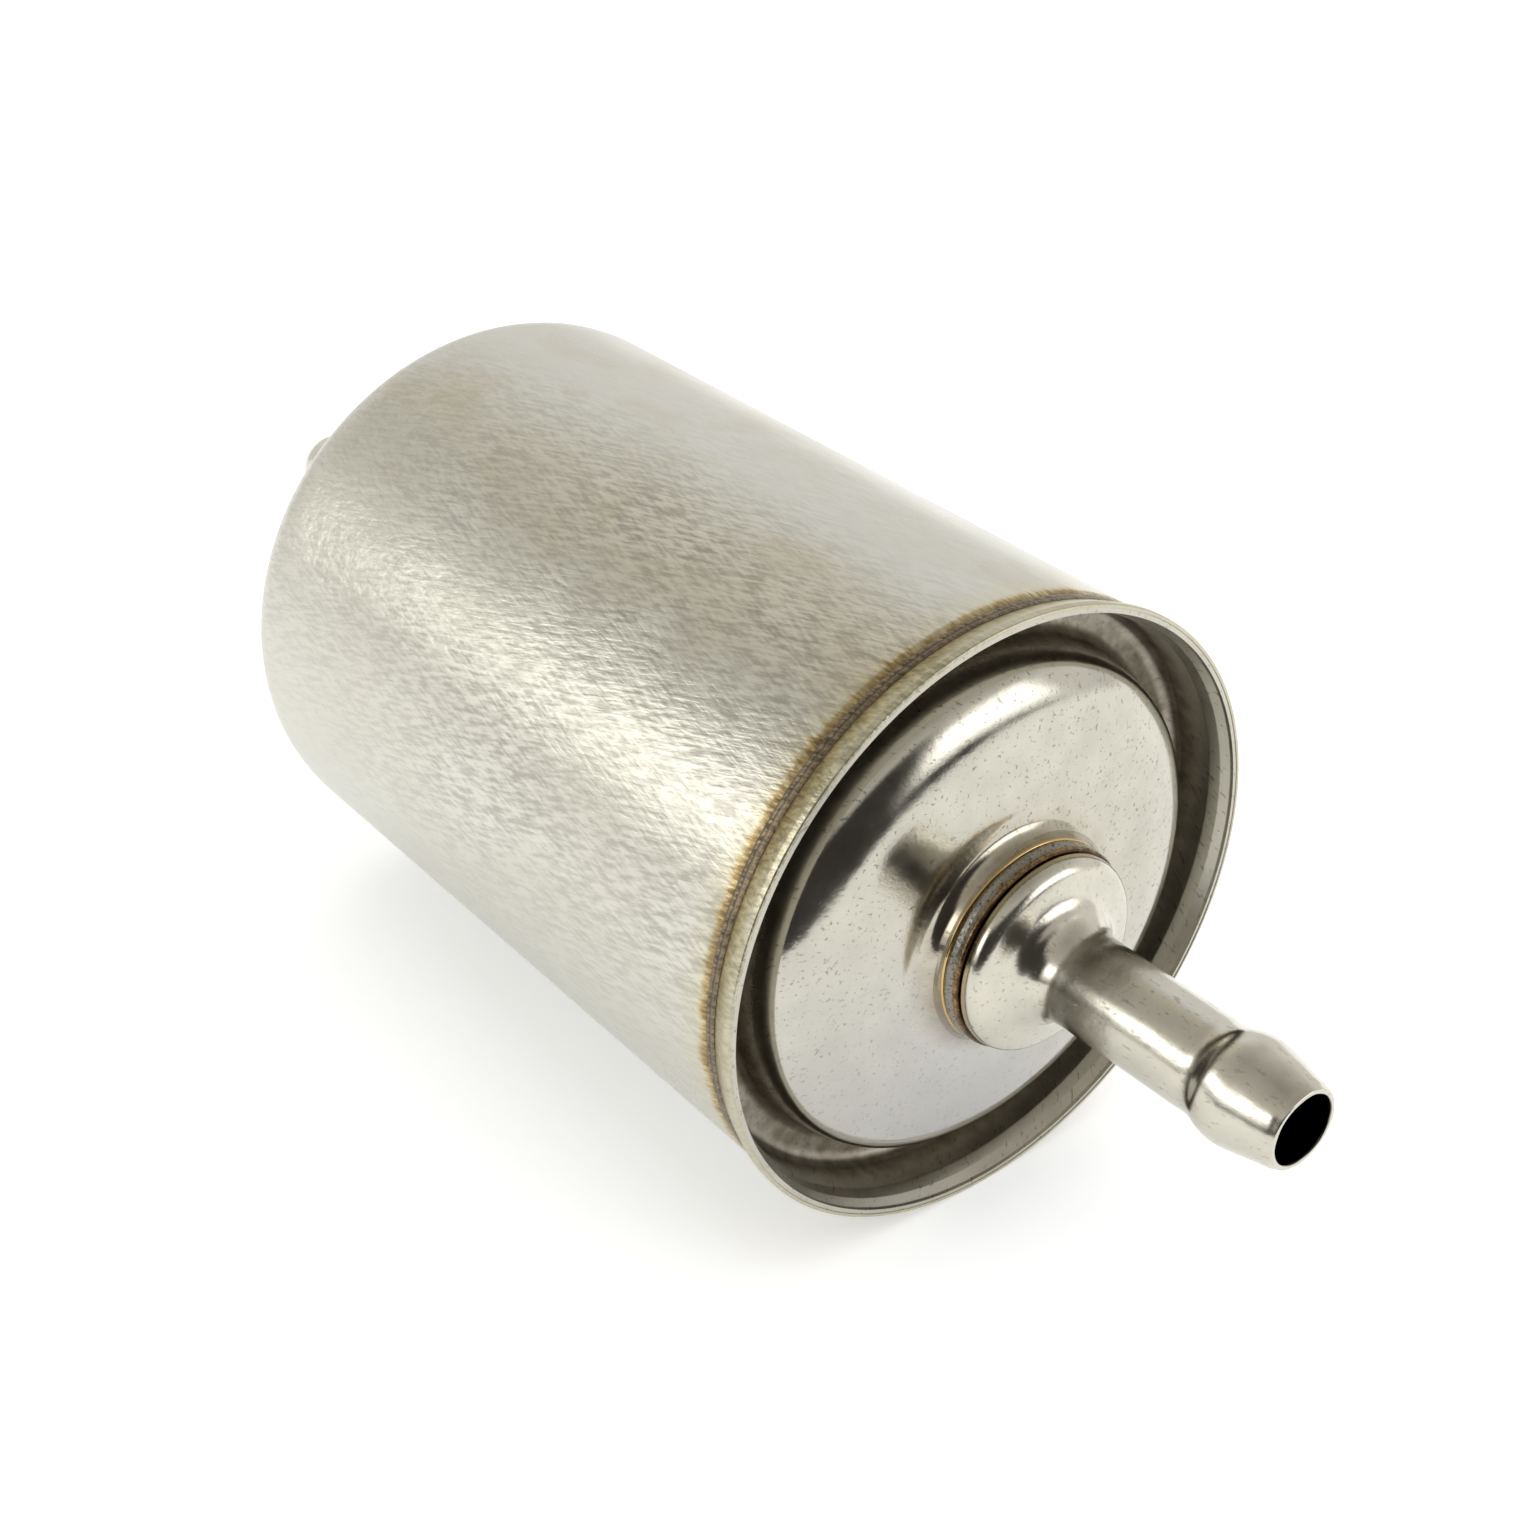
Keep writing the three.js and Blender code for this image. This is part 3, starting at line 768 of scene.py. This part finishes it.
# A fitting's weld, from the neck's top (0) to the bell (1): gold, grey with scale, copper, then dark.
RING_TINT = [
    (0.0, (0.62, 0.45, 0.20)),
    (0.09, (0.30, 0.25, 0.18)),
    (0.2, (0.40, 0.38, 0.34)),
    (0.62, (0.44, 0.42, 0.38)),
    (0.72, (0.38, 0.27, 0.14)),
    (0.84, (0.30, 0.185, 0.085)),
    (0.93, (0.10, 0.06, 0.04)),
    (1.0, (0.06, 0.04, 0.03)),
]


def ring_weld():
    paint = Paint("ring_weld", (0.4, 0.36, 0.3), 1.0, 0.3)
    scale = paint.noise(paint.stretched(0.22 * MM, 0.22 * MM), 1.0, 3.0)
    wander = paint.spread(paint.noise(paint.stretched(1 * MM, 0.8 * MM), 1.0, 2.0), 0.3, 0.7, -0.1, 0.1)
    across = paint.spread(paint.math("ADD", paint.from_neck(), wander), 0.05, 1.45, 0, 1)
    metal = paint.ramp(across, RING_TINT)
    speck = paint.mix(paint.spread(scale, 0.56, 0.64, 0, 0.8), metal, rgb(0.05, 0.04, 0.03))
    rough = paint.spread(scale, 0.3, 0.7, 0.2, 0.42)
    paint.set(Base_Color=speck, Roughness=rough, Normal=paint.bump(scale, 0.02 * MM, 0.6))
    return paint.material


def dull_material(name, low, high, roughness, grain, depth, metallic=0.0):
    """A material whose colour wanders between two shades over a fine grain."""
    paint = Paint(name, high, metallic, roughness)
    cloud = paint.noise(paint.stretched(3 * MM, 3 * MM), 1.0, 4.0)
    fine = paint.noise(paint.stretched(grain * MM, grain * MM), 1.0, 3.0)
    blend = paint.math("MULTIPLY", paint.math("ADD", cloud, fine), 0.5)
    color = paint.mix(paint.spread(blend, 0.38, 0.62, 0, 1), rgb(*low), rgb(*high))
    rough = paint.spread(cloud, 0.3, 0.7, roughness - 0.05, min(roughness + 0.08, 1.0))
    paint.set(Base_Color=color, Roughness=rough, Normal=paint.bump(fine, depth * MM, 0.7))
    return paint.material


MATERIALS = {
    "can_steel": can_steel(),
    "cover_steel": cover_steel(),
    "fitting_steel": fitting_steel(),
    "seam_weld": seam_weld(),
    "ring_weld": ring_weld(),
    "tinplate": dull_material("tinplate", (0.52, 0.52, 0.50), (0.66, 0.66, 0.64), 0.32, 0.4, 0.005, 1.0),
    "spring_steel": dull_material(
        "spring_steel", (0.30, 0.29, 0.27), (0.42, 0.41, 0.39), 0.3, 0.2, 0.004, 1.0
    ),
    "seal_rubber": dull_material("seal_rubber", (0.012, 0.012, 0.012), (0.03, 0.03, 0.03), 0.62, 0.15, 0.01),
    "adhesive": dull_material("adhesive", (0.03, 0.03, 0.032), (0.06, 0.06, 0.065), 0.35, 0.8, 0.03),
    "filter_paper": dull_material("filter_paper", (0.62, 0.42, 0.16), (0.74, 0.55, 0.26), 0.85, 0.12, 0.02),
    "hot_melt": dull_material("hot_melt", (0.70, 0.64, 0.48), (0.80, 0.76, 0.62), 0.4, 0.6, 0.02),
}
NODE_SLOT = {row["node"]: row["material_slot"] for row in frame["record"]["subparts"]}
NODE_BODY = {node: body for body, nodes in frame["record"]["behaviour"]["bodies"].items() for node in nodes}


def finish_piece(piece, node):
    """The piece stands for that CAD node: its body, its slot and its material."""
    slot = NODE_SLOT[node]
    piece.data.materials.clear()
    piece.data.materials.append(MATERIALS[slot])
    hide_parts(node)
    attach(piece, NODE_BODY[node])


def build(name, node, *parts):
    piece = new_object(name, *parts)
    finish_piece(piece, node)
    return piece


# ---- the outer pieces, built ----
build("can", "housing_shell", turned(shorter(housing_outline(), 1.5), ROUND, panel_wave))
build("cover", "end_cover", turned(shorter(cover_outline(), 1.0), ROUND))
seam_skin = shorter(seam_weld_outline(), 0.12)
build("seam_bead", "cover_seam_weld", turned(seam_skin, 1024, ripple(0.025, 300, 1.4)))

for end, at_end in (("outlet", at_cover), ("inlet", at_closed_end)):
    skin = shorter(at_end(fitting_outline()), 0.4)
    build(f"{end}_hose_fitting", f"{end}_fitting", turned(skin, SMALL_ROUND, hand_worked(len(end))))
    bead = shorter(at_end(ring_weld_outline()), 0.1)
    build(f"{end}_ring_bead", f"{end}_weld_ring", turned(bead, 512, ripple(0.02, 90, 0.5)))

# ---- the inner pieces, built ----
coil = build("spring_coil", "preload_spring", spring_coil())
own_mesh(coil)

build("filter_paper", "pleated_media", pleated_paper())
dish, windows = baffle_dish()
finish_piece(pierced("baffle", dish, windows), "inlet_baffle")
build("spigot", "outlet_spigot", spigot_tube())
build("clip", "seam_clip", folded_clip())

core_low, core_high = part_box("core_tube")
core_s0, core_s1, core_bore = s_of(core_high.x), s_of(core_low.x), CORE_R - CORE_WALL
core_corners = [(core_s0, core_bore), (core_s0, CORE_R), (core_s1, CORE_R), (core_s1, core_bore)]
core_wall = rounded([(s, r, 0.1) for s, r in core_corners])
finish_piece(pierced("core", turned(core_wall, INNER_ROUND), core_punches(core_s0, core_s1)), "core_tube")

open_s = s_of(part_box("open_end_cap")[1].x)
closed_s = s_of(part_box("closed_end_cap")[0].x) - DIMPLE
build("open_cap", "open_end_cap", *end_cap(open_s, 1, [(open_s, 6.2, 0)]))
dimple = [(closed_s + DIMPLE, 0.02, 0), (closed_s + DIMPLE, 5.8, 0.6), (closed_s, 7.2, 0.6)]
build("closed_cap", "closed_end_cap", *end_cap(closed_s, -1, dimple))
build("grommet", "outlet_grommet", grommet_ring(open_s))
for end in ("open", "closed"):
    bed = ring_of(f"{end}_end_potting", CORE_R + FIT_GAP, CAP_R - 1.0, 0.3)
    build(f"{end}_bed", f"{end}_end_potting", bed)
for band in (1, 2, 3):
    build(f"band_{band}", f"pleat_band_{band}", ring_of(f"pleat_band_{band}", BAND_IN_R, BAND_OUT_R, 0.18))

for name, node in frame["nodes"].items():
    if not node.hide_render:
        node.data.materials.clear()
        node.data.materials.append(MATERIALS[NODE_SLOT[name]])


# ---- studio ----
def floor():
    """A pale sheet that ends a little in front of the filter and runs far back behind it."""
    front, back, half = 0.17, -3.0, 3.0
    turn = math.radians(-38)
    ahead = Vector((math.cos(turn), math.sin(turn), 0))
    side = Vector((-ahead.y, ahead.x, 0))
    places = ((back, -half), (front, -half), (front, half), (back, half))
    corners = [ahead * reach + side * across for reach, across in places]
    plane = new_object("floor", (corners, [(0, 1, 2, 3)]))
    paint = Paint("floor", (0.86, 0.87, 0.88), 0.0, 0.9)
    paint.shader.inputs["Specular IOR Level"].default_value = 0.0
    paint.shader.inputs["Emission Color"].default_value = (0.97, 0.98, 1.0, 1.0)
    paint.shader.inputs["Emission Strength"].default_value = 0.33
    plane.data.materials.append(paint.material)


def panel(nodes, azimuth, elevation, box, soft):
    """1 inside a soft-edged box of the world, and 0 outside. The box is in degrees, as in ROOM_PANELS."""
    az, half_az, el, half_el = box
    side = nodes.math("ABSOLUTE", nodes.math("SUBTRACT", azimuth, math.radians(az)))
    turned_back = nodes.math("SUBTRACT", 2 * math.pi, side)
    side = nodes.math("MINIMUM", side, turned_back)
    height = nodes.math("ABSOLUTE", nodes.math("SUBTRACT", elevation, math.radians(el)))
    edge = math.radians(soft)
    across = nodes.spread(side, math.radians(half_az) - edge, math.radians(half_az) + edge, 1, 0)
    up = nodes.spread(height, math.radians(half_el) - edge, math.radians(half_el) + edge, 1, 0)
    return nodes.math("MULTIPLY", across, up)


# The room that the metal reflects: (middle azimuth, half width, middle elevation, half height) and softness
# in degrees, colour and strength. Azimuth is measured from +X towards +Y, up to 180 either way.
ROOM_PANELS = [
    ((-112, 26, 20, 10), 5, (1.0, 0.99, 0.97), 3.5),
    ((146, 30, 33, 12), 9, (0.97, 0.98, 1.0), 1.05),
    ((168, 24, 47, 8), 6, (1.0, 0.93, 0.77), 0.84),
    ((-34, 46, 11, 24), 6, (1.0, 0.92, 0.84), 0.06),
    ((32, 17, 15, 11), 4, (1.0, 0.99, 0.98), 3.0),
]


def world():
    scene_world = bpy.data.worlds.new("studio")
    bpy.context.scene.world = scene_world
    scene_world.use_nodes = True
    nodes = Nodes(scene_world.node_tree)
    nodes.tree.nodes.clear()
    direction = nodes.add("ShaderNodeTexCoord", {}).outputs["Generated"]
    parts = nodes.add("ShaderNodeSeparateXYZ", {0: direction}).outputs
    azimuth = nodes.math("ARCTAN2", parts[1], parts[0])
    elevation = nodes.math("ARCSINE", parts[2])
    sky = [
        (0.0, (0.92, 0.91, 0.89)),
        (0.22, (1.0, 0.99, 0.96)),
        (0.34, (0.86, 0.85, 0.81)),
        (0.5, (0.68, 0.66, 0.61)),
        (1.0, (0.42, 0.41, 0.38)),
    ]
    color = nodes.ramp(nodes.spread(elevation, 0.0, math.pi / 2, 0, 1), sky)
    color = nodes.mix(nodes.spread(elevation, -0.03, -0.01, 1, 0), color, rgb(0.05, 0.047, 0.045))
    for box, soft, tone, strength in ROOM_PANELS:
        mask = panel(nodes, azimuth, elevation, box, soft)
        color = nodes.mix(mask, color, rgb(*(strength * c for c in tone)))
    seen = nodes.add("ShaderNodeLightPath", {}).outputs["Is Camera Ray"]
    final = nodes.mix(seen, color, rgb(1.0, 1.0, 1.0))
    background = nodes.add("ShaderNodeBackground", {"Color": final, "Strength": 1.0})
    output = nodes.add("ShaderNodeOutputWorld", {})
    nodes.tree.links.new(background.outputs[0], output.inputs["Surface"])


def overhead_light():
    """A wide light that brightens the floor. The metal doesn't see it."""
    data = bpy.data.lights.new("overhead", "AREA")
    data.shape = "DISK"
    data.size = 1.6
    data.energy = 7.0
    lamp = bpy.data.objects.new("overhead", data)
    lamp.location = (0.12, 0.45, 0.8)
    lamp.visible_glossy = False
    bpy.context.scene.collection.objects.link(lamp)


def camera():
    """Looks down on the cover end from its right side. The rim's centre is the point that places it."""
    azimuth, elevation = math.radians(51.84), math.radians(32.75)
    lens_angle = 2 * math.atan(768 / 2347)
    back = Vector(
        (
            math.sin(azimuth) * math.cos(elevation),
            -math.cos(azimuth) * math.cos(elevation),
            math.sin(elevation),
        )
    )
    right = Vector((math.cos(azimuth), math.sin(azimuth), 0))
    up = back.cross(right)
    rim_centre = Vector((RIM_X, 0, AXIS_Z))
    rim_seen = Vector((18.88, -12.54, -189.5)) * MM  # the rim's centre, in the camera's own axes
    data = bpy.data.cameras.new("camera")
    data.sensor_width = 36
    data.lens = 18 / math.tan(lens_angle / 2)
    data.clip_start = 0.01
    made = bpy.data.objects.new("camera", data)
    made.location = rim_centre - right * rim_seen.x - up * rim_seen.y - back * rim_seen.z
    made.rotation_mode = "QUATERNION"
    made.rotation_quaternion = Matrix((right, up, back)).transposed().to_quaternion()
    bpy.context.scene.collection.objects.link(made)
    bpy.context.scene.camera = made


floor()
world()
overhead_light()
camera()
bpy.context.scene.view_settings.view_transform = "Standard"

bpy.context.view_layer.update()
